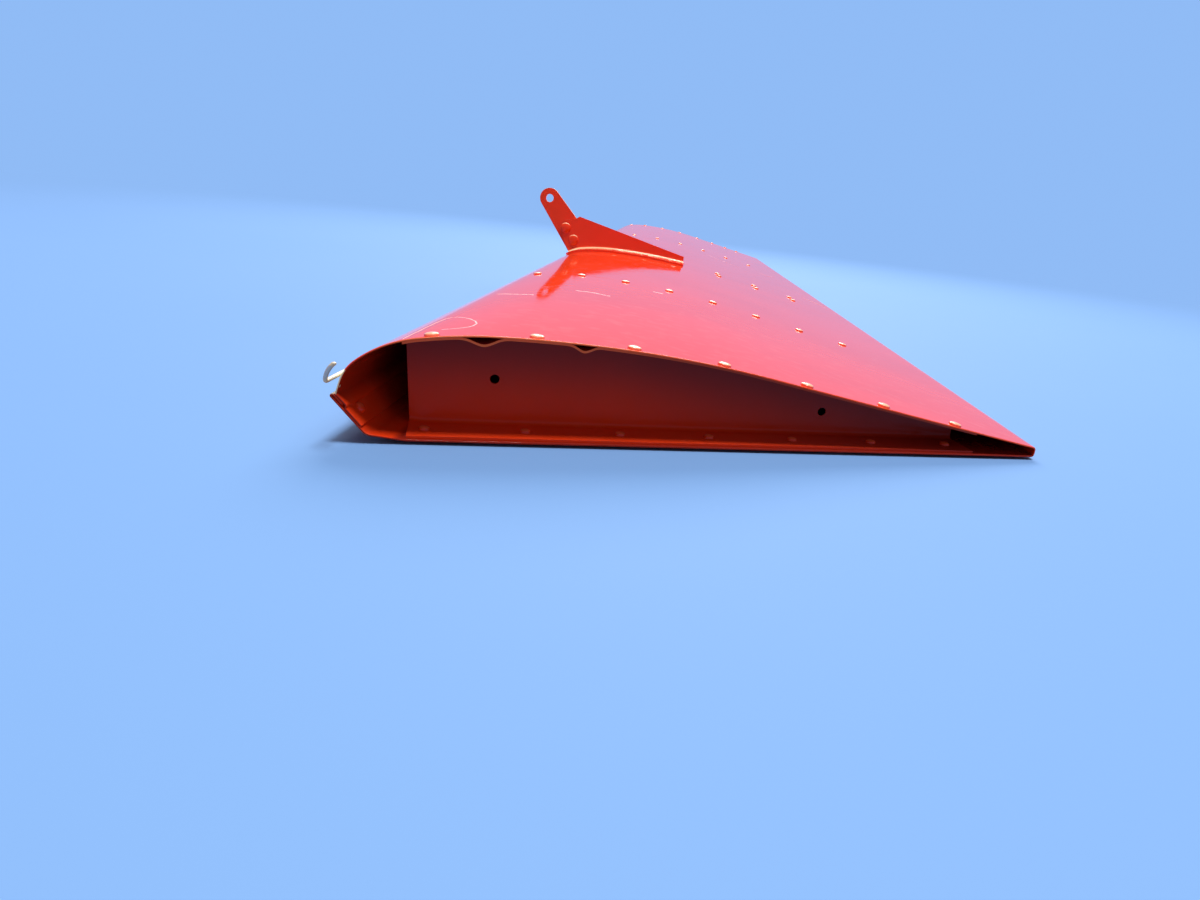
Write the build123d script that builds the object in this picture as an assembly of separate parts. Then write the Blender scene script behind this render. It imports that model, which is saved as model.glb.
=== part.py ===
from build123d import *
import os
from math import cos, radians, sin, tan

# Trim tab in riveted sheet aluminium: one skin folded round the trailing edge, channel ribs inside,
# half of a piano hinge on the nose with its pin, and a control horn on the upper side.
# Frame: the hinge axis is the Y axis, with the origin at the middle of the leading edge. +X runs aft
# to the trailing edge, +Y runs along the hinge to the far end, and +Z is up. The horn stands nearer
# to the near end, which is at -Y. Lengths are in millimetres and angles in degrees.

# Plan form. The slants are how far each end leans from the chord line.
leading_edge_length = 1386.0
near_end_slant = 20.3
far_end_slant = 24.7

# Section of the skin: flat bottom, folded trailing edge, straight flank, and the nose in three arcs,
# each given by its radius and the angle that it turns through. The last one ends level at the crest.
hinge_height = 19.7
trailing_edge_x = 248.0
trailing_edge_height = 4.0
trailing_fold_radius = 1.4
flank_angle = 11.2
land_lean = 14.0
land_height = 4.3
front_arc_radius = 12.8
front_arc_angle = 35.2
middle_arc_radius = 34.0
middle_arc_angle = 31.3
rear_arc_radius = 147.0

# The bevel under the nose with a shallow ramp behind it, its hemmed lip, and the seam flange of the
# upper edge that lies inside it.
lip_x = -0.95
lip_height = -6.3
bevel_angle = 50.1
bevel_bend_radius = 4.0
ramp_angle = 8.1
ramp_end_x = 20.0
ramp_bend_radius = 15.0
hem_width = 4.0
hem_bend_radius = 0.1
seam_joggle = 0.6
seam_flange_clearance = 1.4
seam_bend_radius = 0.9

# Sheet gauges, and the gap between sheets that lie on each other.
skin_gauge = 0.64
rib_gauge = 0.8
fay_gap = 0.05

# Channel ribs. An end rib's flanges point outwards and stop short of the skin's edge.
rib_front_x = 14.6
rib_front_lean = 4.5
rib_rear_x = 217.0
rib_flange = 17.2
rib_flange_inset = 1.5
rib_bend_radius = 1.6
end_rib_cut = 7.3
second_rib_y = -432.2
horn_rib_y = -190.1
outer_rib_y = 208.7
flute_stations = [(41.2, 17.0, 2.1), (72.0, 12.5, 1.8)]
flute_fade_ratio = 0.15
flute_shoulder_ratio = 0.35
tooling_hole_radius = 1.6
tooling_holes = [(41.9, -2.6), (160.5, -9.3)]

# Horn: an angle bracket on the skin, and an arm riveted behind its upright web.
bracket_gauge = 1.6
bracket_bend_radius = 2.4
bracket_foot_width = 21.0
bracket_front_lean = 62.2
bracket_front_corner = (-3.8, 36.5)
bracket_corner_radius = 6.0
bracket_notch = (12.4, 37.7)
bracket_peak = (16.5, 40.7)
bracket_rear_x = 108.5
bracket_rear_height = 17.6
arm_gauge = 3.2
arm_hole = (-10.6, 53.0)
arm_hole_radius = 3.3
arm_end_radius = 8.3
arm_front_lean = 54.3
arm_rear_lean = 47.1
arm_front_length = 46.5
arm_rear_length = 41.5
arm_toe = (20.5, 18.0)
arm_rivet_points = [(5.6, 30.1), (13.1, 20.9)]

# Hinge half and its pin, with a hooked end.
knuckle_radius = 1.5
knuckle_length = 38.1
knuckle_sides = 12
pin_radius = 0.7
pin_clearance = 0.08
leaf_gauge = 0.9
leaf_foot = 0.4
leaf_width = 3.2
leaf_end_inset = 13.0
pin_overhang = 7.2
hook_reach = (3.3, 6.2)
hook_bend_radius = 1.7

# Rivets: button heads outside, and the flattened tails that show inside the near end. There are many
# of them, so each is made with few sides.
head_sides = 10
head_radius = 2.4
head_top_radius = 1.75
head_height = 1.05
tail_radius = 1.9
tail_top_radius = 1.6
tail_height = 1.2
horn_head_radius = 4.2
horn_head_top_radius = 2.9
horn_head_height = 1.7
horn_shank_radius = 2.0
horn_tail_radius = 3.0
horn_tail_height = 1.5
shank_clearance = 0.02
hinge_head_radius = 1.25
hinge_head_top_radius = 0.9
hinge_head_height = 0.6

# Rivet rows: stations along X on the ribs, and along the hinge on the nose.
near_row_start = 25.6
near_row_pitch = 31.0
near_lower_start = 23.2
near_lower_pitch = 31.4
near_row_count = 7
near_upper_edge_distance = 3.4
near_lower_edge_distance = 9.5
far_row_stations = [22.0, 47.4, 79.4, 111.1, 142.1, 169.0, 192.1, 211.4]
far_edge_distance = 9.0
second_row_start = 21.95
second_row_pitch = 25.4
second_row_count = 8
horn_row_start = 43.0
horn_row_pitch = 32.2
horn_row_count = 6
bracket_rivet_start = 50.2
bracket_rivet_pitch = 25.4
bracket_rivet_count = 3
outer_row_start = 48.7
outer_row_pitch = 30.2
outer_row_count = 6
rib_rivet_setback = 11.2
nose_rivet_count = 14
seam_rivet_inset = 9.3
seam_rivet_distance = 7.5
hinge_rivet_inset = 21.0

# Values that follow from the sizes above.
half_length = leading_edge_length / 2
past_ends = leading_edge_length
bevel_along = Vector(cos(radians(bevel_angle)), -sin(radians(bevel_angle)))
bevel_inward = Vector(sin(radians(bevel_angle)), cos(radians(bevel_angle)))
land_along = Vector(sin(radians(land_lean)), cos(radians(land_lean)))
land_outward = Vector(-cos(radians(land_lean)), sin(radians(land_lean)))
flank_along = Vector(cos(radians(flank_angle)), -sin(radians(flank_angle)))
hem_outer_radius = skin_gauge + hem_bend_radius
under_bevel = skin_gauge + fay_gap
under_hem = 2 * hem_outer_radius + fay_gap
lip = Vector(lip_x, lip_height)
ramp_slope = tan(radians(ramp_angle))
ramp_top = (ramp_end_x - lip_x) * ramp_slope - hinge_height
bevel_width = (lip_height - ramp_top) / (-bevel_along.Y - bevel_along.X * ramp_slope)
bevel_bend_tangent = bevel_bend_radius * tan(radians(bevel_angle - ramp_angle) / 2)
fold_top = Vector(trailing_edge_x, trailing_edge_height - hinge_height)
fold_low = Vector(trailing_edge_x, -hinge_height)
flank_end = fold_top - flank_along * trailing_edge_height
floor_start = Vector(flank_end.X, -hinge_height)
nose_foot = lip + bevel_inward * under_hem
land_top = nose_foot + land_along * land_height
web_depth = rib_flange + rib_gauge + rib_flange_inset
well_above = 4 * hinge_height
hanging = (Align.CENTER, Align.CENTER, Align.MAX)


def near_edge_y(x, inset=0.0):
    """Near edge of the skin at x, or a line inside it by inset."""
    slant = radians(near_end_slant)
    return -half_length + (x - lip_x) * tan(slant) + inset / cos(slant)


def far_edge_y(x, inset=0.0):
    """Far edge of the skin at x, or a line inside it by inset."""
    slant = radians(far_end_slant)
    return half_length - (x - lip_x) * tan(slant) - inset / cos(slant)


def on_bevel(distance, depth=0.0):
    """Section point on the bevel, by its distance from the lip and its depth under the outer face."""
    return lip + bevel_along * distance + bevel_inward * depth


def upper_edges():
    """Outer face of the upper skin behind the hinge land: three nose arcs, crown arc and flank."""
    front = JernArc(land_top, land_along, front_arc_radius, -front_arc_angle)
    middle = JernArc(front @ 1, front % 1, middle_arc_radius, -middle_arc_angle)
    still_to_turn = 90 - land_lean - front_arc_angle - middle_arc_angle
    rear = JernArc(middle @ 1, middle % 1, rear_arc_radius, -still_to_turn)
    crest = rear @ 1
    drop = (fold_top.X - crest.X) * tan(radians(flank_angle)) - (crest.Y - fold_top.Y)
    crown_radius = drop * flank_along.X / (1 - flank_along.X)
    crown = JernArc(crest, rear % 1, crown_radius, -flank_angle)
    return [front, middle, rear, crown, Line(crown @ 1, flank_end)]


def lower_edges():
    """Outer face of the lower skin: flat bottom, shallow ramp, and the bevel up to the lip."""
    corners = [floor_start, Vector(ramp_end_x, -hinge_height), on_bevel(bevel_width), lip]
    return [FilletPolyline(*corners, radius=[ramp_bend_radius, bevel_bend_radius])]


def beside(edge, share, depth):
    """Point to the right of the edge by depth, at a share of its length."""
    along = edge % share
    return edge @ share + Vector(along.Y, -along.X) * depth


def parallel(edge, depth):
    """The line or arc that runs beside another, to its right by depth."""
    start, middle, end = [beside(edge, share, depth) for share in (0, 0.5, 1)]
    if edge.geom_type == GeomType.LINE:
        return Line(start, end)
    return ThreePointArc(start, middle, end)


def in_order(*lines):
    """The single edges of lines that follow each other, each in the direction of travel."""
    return Wire([edge for line in lines for edge in line.edges()]).edges()


def skin_section():
    """The folded sheet, its outer face one line from the seam flange to the hem inside the lip."""
    seam = FilletPolyline(
        on_bevel(bevel_width - bevel_bend_tangent - seam_flange_clearance, under_bevel),
        on_bevel(hem_width + 2 * seam_joggle, under_bevel),
        on_bevel(hem_width + seam_joggle, under_hem),
        nose_foot,
        land_top,
        radius=seam_bend_radius,
    )
    turn_middle = lip + (bevel_inward - bevel_along) * hem_outer_radius
    hem_start = on_bevel(0, 2 * hem_outer_radius)
    turn = ThreePointArc(lip, turn_middle, hem_start)
    hem = Line(hem_start, on_bevel(hem_width, 2 * hem_outer_radius))
    fold = FilletPolyline(flank_end, fold_top, fold_low, floor_start, radius=trailing_fold_radius)
    outer = in_order(seam, *upper_edges(), fold, *lower_edges(), turn, hem)
    inner = [parallel(edge, skin_gauge) for edge in outer]
    ends = [Line(outer[0] @ 0, inner[0] @ 0), Line(outer[-1] @ 1, inner[-1] @ 1)]
    return make_face(Curve() + [*outer, *inner, *ends])


def outline(depth):
    """Section in front of the trailing fold, inside the skin's outer face by depth, or outside it."""
    upper = [parallel(edge, depth) for edge in in_order(*upper_edges())]
    lower = [parallel(edge, depth) for edge in in_order(*lower_edges())]
    ends = [Line(upper[-1] @ 1, lower[0] @ 0), Line(lower[-1] @ 1, upper[0] @ 0)]
    return make_face(Curve() + [*upper, *lower, *ends])


def bar(section):
    """A bar of a section, long enough to run past both ends."""
    return extrude(Plane.XZ * section, past_ends, both=True)


def plate(section, start_y, end_y):
    """A flat plate of a section, between two stations along the hinge."""
    half_width = abs(end_y - start_y) / 2
    return Pos(0, (start_y + end_y) / 2, 0) * extrude(Plane.XZ * section, half_width, both=True)


def waste(edge_y, slant, side):
    """What is cut off beyond a slanted end of the skin."""
    block = Pos(0, side * past_ends, 0) * Box(4 * past_ends, 2 * past_ends, past_ends)
    return Pos(lip_x, edge_y, 0) * Rot(0, 0, slant) * block


def on_upper(x):
    """Section point on the upper skin at x, with the outward direction there."""
    upper = Wire(upper_edges())
    low, high = 0.0, 1.0
    while high - low > 1e-9:
        middle = (low + high) / 2
        if (upper @ middle).X < x:
            low = middle
        else:
            high = middle
    along = upper % low
    return upper @ low, Vector(-along.Y, along.X)


def tapered(radius, top_radius, height):
    """A head or tail of few sides that stands on the XY plane and narrows to its top."""
    top = Pos(0, 0, height) * RegularPolygon(top_radius, head_sides)
    return loft([RegularPolygon(radius, head_sides), top], ruled=True)


def placed(head, x, y, z, outward):
    """A head that sits on a face at a point and stands outwards."""
    return Plane(origin=(x, y, z), z_dir=(outward.X, 0, outward.Y)) * head


def upper_heads(points, lift=0.0):
    """Heads on the upper skin at (x, y) points, or lifted by what lies between."""
    heads = []
    for x, y in points:
        spot, outward = on_upper(x)
        seat = spot + outward * lift
        heads.append(placed(rivet_head, seat.X, y, seat.Y, outward))
    return heads


def lower_heads(points):
    """Heads under the flat bottom at (x, y) points."""
    return [placed(rivet_head, x, y, -hinge_height, Vector(0, -1)) for x, y in points]


def row(start, pitch, count, y):
    return [(start + step * pitch, y) for step in range(count)]


def make_skin():
    near_waste = waste(-half_length, near_end_slant, -1)
    far_waste = waste(half_length, -far_end_slant, 1)
    return bar(skin_section()) - near_waste - far_waste


def bent(block, web_face, radius):
    """The block with a bend radius along the edges of its web face that follow the skin."""
    edges = []
    for edge in block.edges():
        middle = edge @ 0.5
        on_face = abs((middle - web_face.origin).dot(web_face.z_dir)) < 0.01
        level = abs((edge % 0.5).Z) < cos(radians(45))
        if on_face and level and middle.Z < hinge_height:
            edges.append(edge)
    return fillet(edges, radius)


def rib_block(stock, web_y, slant, facing, start, end_cut, spare):
    """Stock cut to a rib's length and depth, from start off the web's back, longer by spare."""
    place = Pos(lip_x, web_y, 0) * Rot(0, 0, slant)
    front = (rib_front_x - lip_x) / cos(radians(slant)) - spare
    rear = (rib_rear_x - lip_x) / cos(radians(slant)) + spare
    depth = rib_gauge + rib_flange + spare
    size = (2 * rear, depth - start, well_above)
    slab = place * Pos(rear, facing * (start + depth) / 2, 0) * Box(*size)
    size = (2 * rear, 4 * depth, 2 * well_above)
    front_waste = Box(*size, align=(Align.MAX, Align.CENTER, Align.CENTER))
    rear_waste = Box(*size, align=(Align.MIN, Align.CENTER, Align.CENTER))
    turn = facing * end_cut
    block = (stock & slab) - place * Pos(front, 0, 0) * Rot(0, -rib_front_lean, turn) * front_waste
    return block - place * Pos(rear, 0, 0) * Rot(0, 0, turn) * rear_waste


def make_inner_rib(web_y, facing):
    """Channel rib across the skin, flanges pointing to facing. It is hidden, so its bends are sharp."""
    blank = rib_block(rib_bar, web_y, 0, facing, 0, 0, 0)
    return blank - rib_block(rib_room, web_y, 0, facing, rib_gauge, 0, rib_gauge)


def make_end_rib(web_y, slant, facing):
    """Channel rib along a slanted end, its web's back at web_y on the leading edge."""
    across = Vector(-sin(radians(slant)), cos(radians(slant)), 0)
    back = Plane(origin=(lip_x, web_y, 0), z_dir=across)
    front = Plane(origin=back.origin + across * facing * rib_gauge, z_dir=across)
    blank = rib_block(rib_bar, web_y, slant, facing, 0, end_rib_cut, 0)
    room = rib_block(rib_room, web_y, slant, facing, rib_gauge, end_rib_cut, rib_gauge)
    return bent(blank, back, rib_bend_radius + rib_gauge) - bent(room, front, rib_bend_radius)


def flute_rim(x, width, inset, dip):
    """Where a flute crosses the near rib's upper flange: its plane there, and its arched section."""
    slant = radians(near_end_slant)
    middle_x = x - (inset - rib_flange_inset) * sin(slant)
    half = width / 2 * cos(slant)
    front, rear = [on_upper(middle_x + side * half)[0] for side in (-1, 1)]
    along = Vector(rear.X - front.X, (rear.X - front.X) * tan(slant), rear.Y - front.Y)
    outwards = Vector(sin(slant), -cos(slant), 0)
    middle = (front + rear) / 2
    seat = Plane((middle.X, near_edge_y(middle_x, inset), middle.Y), x_dir=along, z_dir=outwards)
    seat = seat * Pos(0, -skin_gauge - fay_gap, 0)
    quarter = width / 4
    drops = [0, dip * flute_shoulder_ratio, dip, dip * flute_shoulder_ratio, 0]
    stations = [((step - 2) * quarter, -drop) for step, drop in enumerate(drops)]
    top = Spline(*stations, tangents=[(1, 0), (1, 0)])
    under = Spline(*[(x, z - rib_gauge) for x, z in stations], tangents=[(1, 0), (1, 0)])
    return seat, make_face(Curve() + [top, Line(top @ 1, under @ 1), under, Line(under @ 0, top @ 0)])


def make_flute(x, width, depth):
    """One flute: the strip of flange that it replaces, and the arched shell that deepens outwards."""
    insets = [rib_flange_inset + rib_flange - rib_bend_radius, rib_flange_inset]
    rims = [flute_rim(x, width, inset, dip) for inset, dip in zip(insets, (depth * flute_fade_ratio, depth))]
    shell = loft([seat * face for seat, face in rims], ruled=True)
    strip = loft([seat * Rectangle(width, 4 * rib_gauge) for seat, face in rims], ruled=True)
    return strip, shell


def make_near_rib():
    web_y = near_edge_y(lip_x, web_depth)
    rib = make_end_rib(web_y, near_end_slant, -1)
    for x, width, depth in flute_stations:
        strip, shell = make_flute(x, width, depth)
        rib = rib - strip + shell
    drill = Rot(90, 0, 0) * Cylinder(tooling_hole_radius, rib_flange)
    for x, z in tooling_holes:
        rib -= Pos(x, near_edge_y(x, web_depth), z) * drill
    return rib


def make_bracket():
    """Angle bracket: an upright web, and a foot that follows the skin towards the near end."""
    foot_y = horn_rib_y - bracket_foot_width
    face_y = horn_rib_y - bracket_gauge
    back_face = Plane(origin=(0, horn_rib_y, 0), z_dir=(0, 1, 0))
    near_face = Plane(origin=(0, face_y, 0), z_dir=(0, 1, 0))
    corner = Vector(*bracket_front_corner)
    front_low = Vector(corner.X + corner.Y / tan(radians(bracket_front_lean)), 0)
    rear_top = (bracket_rear_x, bracket_rear_height)
    rear_low = (bracket_rear_x, 0)
    corners = [front_low, corner, bracket_notch, bracket_peak, rear_top, rear_low]
    web_outline = make_face(Polyline(*corners, close=True))
    web_outline = fillet(web_outline.vertices().sort_by_distance(corner)[0], bracket_corner_radius)
    blank = plate(web_outline, foot_y, horn_rib_y) - under_bracket
    blank = bent(blank, back_face, bracket_bend_radius + bracket_gauge)
    wider = offset(web_outline, bracket_gauge, kind=Kind.INTERSECTION)
    room = plate(wider, foot_y - bracket_gauge, face_y) - over_foot
    return blank - bent(room, near_face, bracket_bend_radius) - arm_rivet_holes()


def arm_rivet_holes():
    drill = Rot(90, 0, 0) * Cylinder(horn_shank_radius + shank_clearance, 4 * arm_gauge)
    return [Pos(x, horn_rib_y, z) * drill for x, z in arm_rivet_points]


def make_arm():
    """Flat arm with a round upper end and a hole for the push rod."""
    hole = Vector(*arm_hole)
    front_along = Vector(cos(radians(arm_front_lean)), -sin(radians(arm_front_lean)))
    rear_along = Vector(cos(radians(arm_rear_lean)), -sin(radians(arm_rear_lean)))
    front_top = hole + Vector(front_along.Y, -front_along.X) * arm_end_radius
    rear_top = hole + Vector(-rear_along.Y, rear_along.X) * arm_end_radius
    end_top = hole - (front_along + rear_along).normalized() * arm_end_radius
    end = ThreePointArc(front_top, end_top, rear_top)
    sides = Polyline(
        rear_top,
        rear_top + rear_along * arm_rear_length,
        arm_toe,
        front_top + front_along * arm_front_length,
        front_top,
    )
    face = make_face(Curve() + [end, sides]) - Pos(hole.X, hole.Y) * Circle(arm_hole_radius)
    near_face = horn_rib_y + fay_gap
    return plate(face, near_face, near_face + arm_gauge) - arm_rivet_holes()


def make_arm_rivets():
    """Two rivets through the bracket's web and the arm, heads on the web."""
    near_face = horn_rib_y - bracket_gauge
    far_face = horn_rib_y + fay_gap + arm_gauge
    rivets = []
    for x, z in arm_rivet_points:
        near_seat = Plane(origin=(x, near_face, z), z_dir=(0, -1, 0))
        far_seat = Plane(origin=(x, far_face, z), z_dir=(0, 1, 0))
        head = near_seat * tapered(horn_head_radius, horn_head_top_radius, horn_head_height)
        shank = near_seat * Cylinder(horn_shank_radius, far_face - near_face, align=hanging)
        tail = far_seat * tapered(horn_tail_radius, horn_tail_radius, horn_tail_height)
        rivets.append(head + shank + tail)
    return rivets


def on_land(distance, height):
    """Section point on the hinge land, by its distance up from the foot and its height off the face."""
    return nose_foot + land_along * distance + land_outward * height


def land_strip(start, end):
    """Section of the hinge leaf's metal between two distances up the land."""
    low, high = fay_gap, fay_gap + leaf_gauge
    corners = [on_land(start, low), on_land(end, low), on_land(end, high), on_land(start, high)]
    return make_face(Polyline(*corners, close=True))


def make_hinge_half():
    """Leaf on the hinge land, with knuckles that leave room between them for the other half's."""
    start_y = near_edge_y(0, leaf_end_inset)
    end_y = far_edge_y(0, leaf_end_inset)
    leaf = plate(land_strip(leaf_foot, leaf_foot + leaf_width), start_y, end_y)
    neck_end = -nose_foot.dot(land_along)
    barrel = RegularPolygon(knuckle_radius, knuckle_sides)
    bore = RegularPolygon(pin_radius + pin_clearance, knuckle_sides, major_radius=False)
    knuckle_face = land_strip(leaf_foot, neck_end) + barrel - bore
    pitch = 2 * knuckle_length
    knuckle_count = int((end_y - start_y + knuckle_length) / pitch)
    middle_y = (start_y + end_y) / 2
    for step in range(knuckle_count):
        knuckle_y = middle_y + (step - (knuckle_count - 1) / 2) * pitch
        leaf += plate(knuckle_face, knuckle_y - knuckle_length / 2, knuckle_y + knuckle_length / 2)
    return leaf


def make_hinge_pin():
    """Wire pin along the hinge axis, with its near end bent up into a hook."""
    bend_y = near_edge_y(0) - pin_overhang
    reach_x, reach_z = hook_reach
    corners = [(0, far_edge_y(0), 0), (0, bend_y, 0), (reach_x, bend_y, reach_z)]
    line = FilletPolyline(*corners, radius=hook_bend_radius)
    return sweep(Plane(line @ 0, z_dir=line % 0) * Circle(pin_radius), path=line)


def spread_along(count, inset):
    """Evenly spaced stations along the hinge, the first and last inside the skin's ends by inset."""
    start_y, end_y = near_edge_y(0, inset), far_edge_y(0, inset)
    return [start_y + (end_y - start_y) * step / (count - 1) for step in range(count)]


def make_hinge_rivets():
    seat = on_land(leaf_foot + leaf_width / 2, fay_gap + leaf_gauge)
    head = tapered(hinge_head_radius, hinge_head_top_radius, hinge_head_height)
    stations = spread_along(nose_rivet_count, hinge_rivet_inset)
    return [placed(head, seat.X, y, seat.Y, land_outward) for y in stations]


def make_seam_rivets():
    """Heads under the bevel, and the first one's tail, which shows inside the near end."""
    seat = on_bevel(seam_rivet_distance)
    stations = spread_along(nose_rivet_count, seam_rivet_inset)
    heads = [placed(rivet_head, seat.X, y, seat.Y, -bevel_inward) for y in stations]
    inside = on_bevel(seam_rivet_distance, under_bevel + skin_gauge)
    return heads + [placed(rivet_tail, inside.X, stations[0], inside.Y, bevel_inward)]


def near_lower_rivets():
    """Heads under the near end, and the tails that stand on the rib's lower flange inside."""
    stations = [near_lower_start + step * near_lower_pitch for step in range(near_row_count)]
    points = [(x, near_edge_y(x, near_lower_edge_distance)) for x in stations]
    floor = skin_gauge + fay_gap + rib_gauge - hinge_height
    tails = [placed(rivet_tail, x, y, floor, Vector(0, 1)) for x, y in points]
    return lower_heads(points) + tails


rivet_head = tapered(head_radius, head_top_radius, head_height)
rivet_tail = tapered(tail_radius, tail_top_radius, tail_height)
rib_bar = bar(outline(skin_gauge + fay_gap))
rib_room = bar(outline(skin_gauge + fay_gap + rib_gauge))
under_bracket = bar(outline(-fay_gap))
over_foot = bar(outline(-fay_gap - bracket_gauge))

near_row = [near_row_start + step * near_row_pitch for step in range(near_row_count)]
near_points = [(x, near_edge_y(x, near_upper_edge_distance)) for x in near_row]
far_points = [(x, far_edge_y(x, far_edge_distance)) for x in far_row_stations]
second_y = second_rib_y - rib_rivet_setback
second_points = row(second_row_start, second_row_pitch, second_row_count, second_y)
horn_near_y = horn_rib_y - rib_rivet_setback
horn_far_y = horn_rib_y + rib_rivet_setback
horn_far_points = row(horn_row_start, horn_row_pitch, horn_row_count, horn_far_y)
horn_near_points = row(horn_row_start, horn_row_pitch, horn_row_count, horn_near_y)
clear_of_foot = bracket_rear_x + 2 * head_radius
horn_open_points = [(x, y) for x, y in horn_near_points if x > clear_of_foot]
bracket_points = row(bracket_rivet_start, bracket_rivet_pitch, bracket_rivet_count, horn_near_y)
outer_y = outer_rib_y - rib_rivet_setback
outer_points = row(outer_row_start, outer_row_pitch, outer_row_count, outer_y)

parts = {
    "skin": make_skin(),
    "near_end_rib": make_near_rib(),
    "second_rib": make_inner_rib(second_rib_y, -1),
    "horn_rib_front": make_inner_rib(horn_rib_y - fay_gap / 2, -1),
    "horn_rib_rear": make_inner_rib(horn_rib_y + fay_gap / 2, 1),
    "outer_rib": make_inner_rib(outer_rib_y, -1),
    "far_end_rib": make_end_rib(far_edge_y(lip_x, web_depth), -far_end_slant, 1),
    "hinge_half": make_hinge_half(),
    "hinge_pin": make_hinge_pin(),
    "horn_bracket": make_bracket(),
    "horn_arm": make_arm(),
    "arm_rivets": make_arm_rivets(),
    "bracket_rivets": upper_heads(bracket_points, lift=fay_gap + bracket_gauge),
    "near_rib_upper_rivets": upper_heads(near_points),
    "near_rib_lower_rivets": near_lower_rivets(),
    "second_rib_upper_rivets": upper_heads(second_points),
    "second_rib_lower_rivets": lower_heads(second_points),
    "horn_rib_upper_rivets": upper_heads(horn_open_points + horn_far_points),
    "horn_rib_lower_rivets": lower_heads(horn_near_points + horn_far_points),
    "outer_rib_upper_rivets": upper_heads(outer_points),
    "outer_rib_lower_rivets": lower_heads(outer_points),
    "far_rib_upper_rivets": upper_heads(far_points),
    "far_rib_lower_rivets": lower_heads(far_points),
    "hinge_rivets": make_hinge_rivets(),
    "nose_seam_rivets": make_seam_rivets(),
}

os.makedirs("parts", exist_ok=True)
for name, shape in parts.items():
    export_step(Compound(shape) if isinstance(shape, list) else shape, f"parts/{name}.step")
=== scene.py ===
"""Looks of a riveted sheet-metal trim tab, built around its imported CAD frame.

Everything is in metres in the CAD's frame: the hinge axis is the Y axis, +X runs aft to the
trailing edge and +Z is up.
"""

import math

import bmesh
import bpy
import numpy
from mathutils import Matrix, Vector, noise


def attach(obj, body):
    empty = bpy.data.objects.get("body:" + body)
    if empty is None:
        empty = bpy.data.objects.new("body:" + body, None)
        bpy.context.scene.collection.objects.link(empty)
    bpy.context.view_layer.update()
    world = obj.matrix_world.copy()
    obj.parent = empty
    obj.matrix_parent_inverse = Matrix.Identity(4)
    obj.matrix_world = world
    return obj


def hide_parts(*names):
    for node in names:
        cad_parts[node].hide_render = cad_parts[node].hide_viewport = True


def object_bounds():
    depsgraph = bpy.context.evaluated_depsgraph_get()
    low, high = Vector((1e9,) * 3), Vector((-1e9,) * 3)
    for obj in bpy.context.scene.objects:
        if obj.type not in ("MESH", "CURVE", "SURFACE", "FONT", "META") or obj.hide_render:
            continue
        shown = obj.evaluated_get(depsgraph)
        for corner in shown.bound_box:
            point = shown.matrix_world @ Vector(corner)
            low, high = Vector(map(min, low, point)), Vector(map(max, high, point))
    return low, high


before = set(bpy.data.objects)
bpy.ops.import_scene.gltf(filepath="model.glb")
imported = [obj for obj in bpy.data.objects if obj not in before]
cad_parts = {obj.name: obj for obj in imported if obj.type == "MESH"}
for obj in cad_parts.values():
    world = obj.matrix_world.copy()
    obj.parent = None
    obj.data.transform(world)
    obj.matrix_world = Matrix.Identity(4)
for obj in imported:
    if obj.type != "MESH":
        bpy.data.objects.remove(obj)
cad_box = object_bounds()

MM = 0.001
BODY = "root"

# Plan form and section of the skin, the same as in the CAD.
HALF_LENGTH = 693 * MM
NEAR_SLANT = math.radians(20.3)
FAR_SLANT = math.radians(24.7)
LIP = Vector((-0.95, -6.3)) * MM
HINGE_HEIGHT = 19.7 * MM
TRAILING_EDGE_X = 248 * MM
TRAILING_EDGE_HEIGHT = 4 * MM
FOLD_RADIUS = 1.4 * MM
FLANK_ANGLE = math.radians(11.2)
LAND_LEAN = math.radians(14)
LAND_HEIGHT = 4.3 * MM
NOSE_ARCS = [(12.8 * MM, math.radians(35.2)), (34 * MM, math.radians(31.3))]
REAR_ARC_RADIUS = 147 * MM
BEVEL_ANGLE = math.radians(50.1)
BEVEL_BEND = 4 * MM
RAMP_ANGLE = math.radians(8.1)
RAMP_END_X = 20 * MM
RAMP_BEND = 15 * MM
HEM_WIDTH = 4 * MM
HEM_RADIUS = 0.74 * MM
SEAM_JOGGLE = 0.6 * MM
SEAM_CLEARANCE = 1.4 * MM
SEAM_BEND = 0.9 * MM
SKIN_GAUGE = 0.64 * MM
FAY_GAP = 0.05 * MM
# Steps along each of the section's arcs.
NOSE_STEPS = 16
REAR_ARC_STEPS = 8
CROWN_STEPS = 16
HEM_STEPS = 8

# Hinge half and its wire.
LEAF_GAUGE = 0.9 * MM
LEAF_FOOT = 0.4 * MM
LEAF_WIDTH = 3.2 * MM
LEAF_END_INSET = 13 * MM
KNUCKLE_RADIUS = 1.47 * MM
KNUCKLE_BORE = 0.78 * MM
KNUCKLE_LENGTH = 38.1 * MM
KNUCKLE_SLIT = math.radians(14)
WIRE_RADIUS = 0.7 * MM
WIRE_OVERHANG = 7.2 * MM
HOOK_REACH = Vector((3.3, 0, 6.2)) * MM
HOOK_BEND = 1.9 * MM
HOOK_LEAN = math.radians(15)
# Steps round the wire's tips, in degrees from the point to the full wire.
WIRE_TIP_ANGLES = (6, 30, 54, 75, 90)

# Horn rivets, through the bracket and the arm.
HORN_Y = -190.1 * MM
BRACKET_GAUGE = 1.6 * MM
ARM_GAUGE = 3.2 * MM
ARM_RIVETS = [(5.6 * MM, 30.1 * MM), (13.1 * MM, 20.9 * MM)]
ARM_RIVET_RADIUS = 4.2 * MM
ARM_RIVET_HEIGHT = 1.7 * MM
ARM_SHANK_RADIUS = 2.0 * MM
ARM_TAIL_RADIUS = 3.0 * MM
ARM_TAIL_HEIGHT = 1.5 * MM
# The tail's chamfer: the share of the radius inside it, and the share of the height it takes.
ARM_TAIL_FLAT = 0.85
ARM_TAIL_CHAMFER = 0.2

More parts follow.
